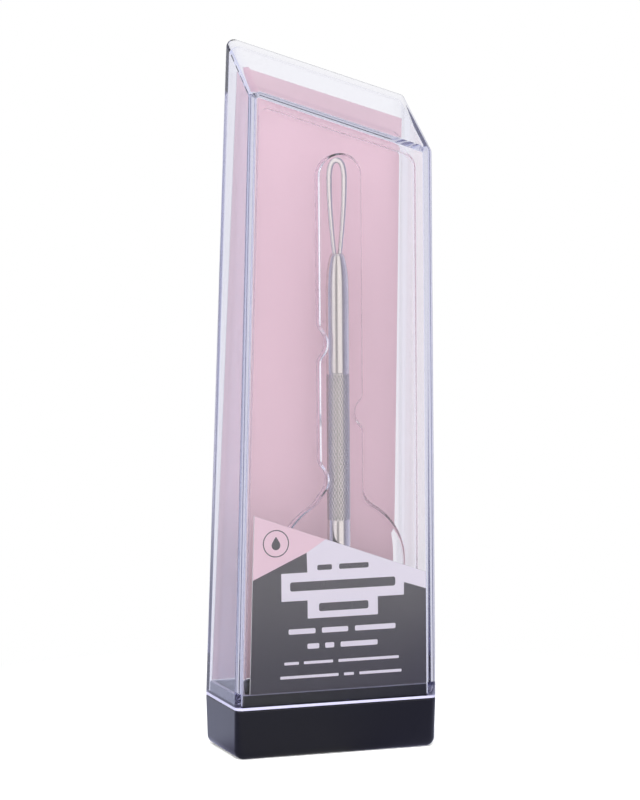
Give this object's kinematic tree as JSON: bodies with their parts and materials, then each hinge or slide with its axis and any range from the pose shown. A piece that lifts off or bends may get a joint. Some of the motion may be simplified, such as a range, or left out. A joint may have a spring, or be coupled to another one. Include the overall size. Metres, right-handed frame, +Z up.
{
  "type": "blackhead extractor",
  "caption": "Steel blackhead extractor with a knurled grip and a wire loop at each end, held in a clear tray inside a standing display case with a slanted clear cover.",
  "frame": {"origin": "middle of the base's underside, on the surface it stands on", "axes": "+Z up along the case, +X to the right seen from the front, +Y from the front to the back"},
  "size_m": [0.0444, 0.0218, 0.1479],
  "materials": {
    "dark_base": "glossy black moulded plastic",
    "clear_cover": "clear polished moulded plastic with a faint lilac tint in its edges",
    "clear_tray": "thin clear formed sheet",
    "pink_card": "matt pink print",
    "dark_card": "satin print, dark grey with pale lilac and pink areas",
    "steel": "satin stainless with a knurled middle",
    "wire": "polished stainless wire"
  },
  "bodies": {
    "base": {"case_base": "dark_base"},
    "insert": {"tool_tray": "clear_tray", "backing_card": "pink_card", "label_card": "dark_card"},
    "cover": {"case_cover": "clear_cover"},
    "tool": {"handle": "steel", "narrow_loop": "wire", "wide_loop": "wire"}
  },
  "joints": [
    {"name": "insert_lift", "type": "slide", "parent": "base", "child": "insert", "axis": [0, 0, 1], "range_m": [0, 0.05]},
    {"name": "cover_lift", "type": "slide", "parent": "insert", "child": "cover", "axis": [0, 0, 1], "range_m": [0, 0.14]},
    {"name": "tool_roll", "type": "hinge", "parent": "insert", "child": "tool", "pos_m": [0.0021, -0.00502, 0.06372], "axis": [0, 0.0141, 0.9999], "range_deg": [-30, 30]}
  ]
}
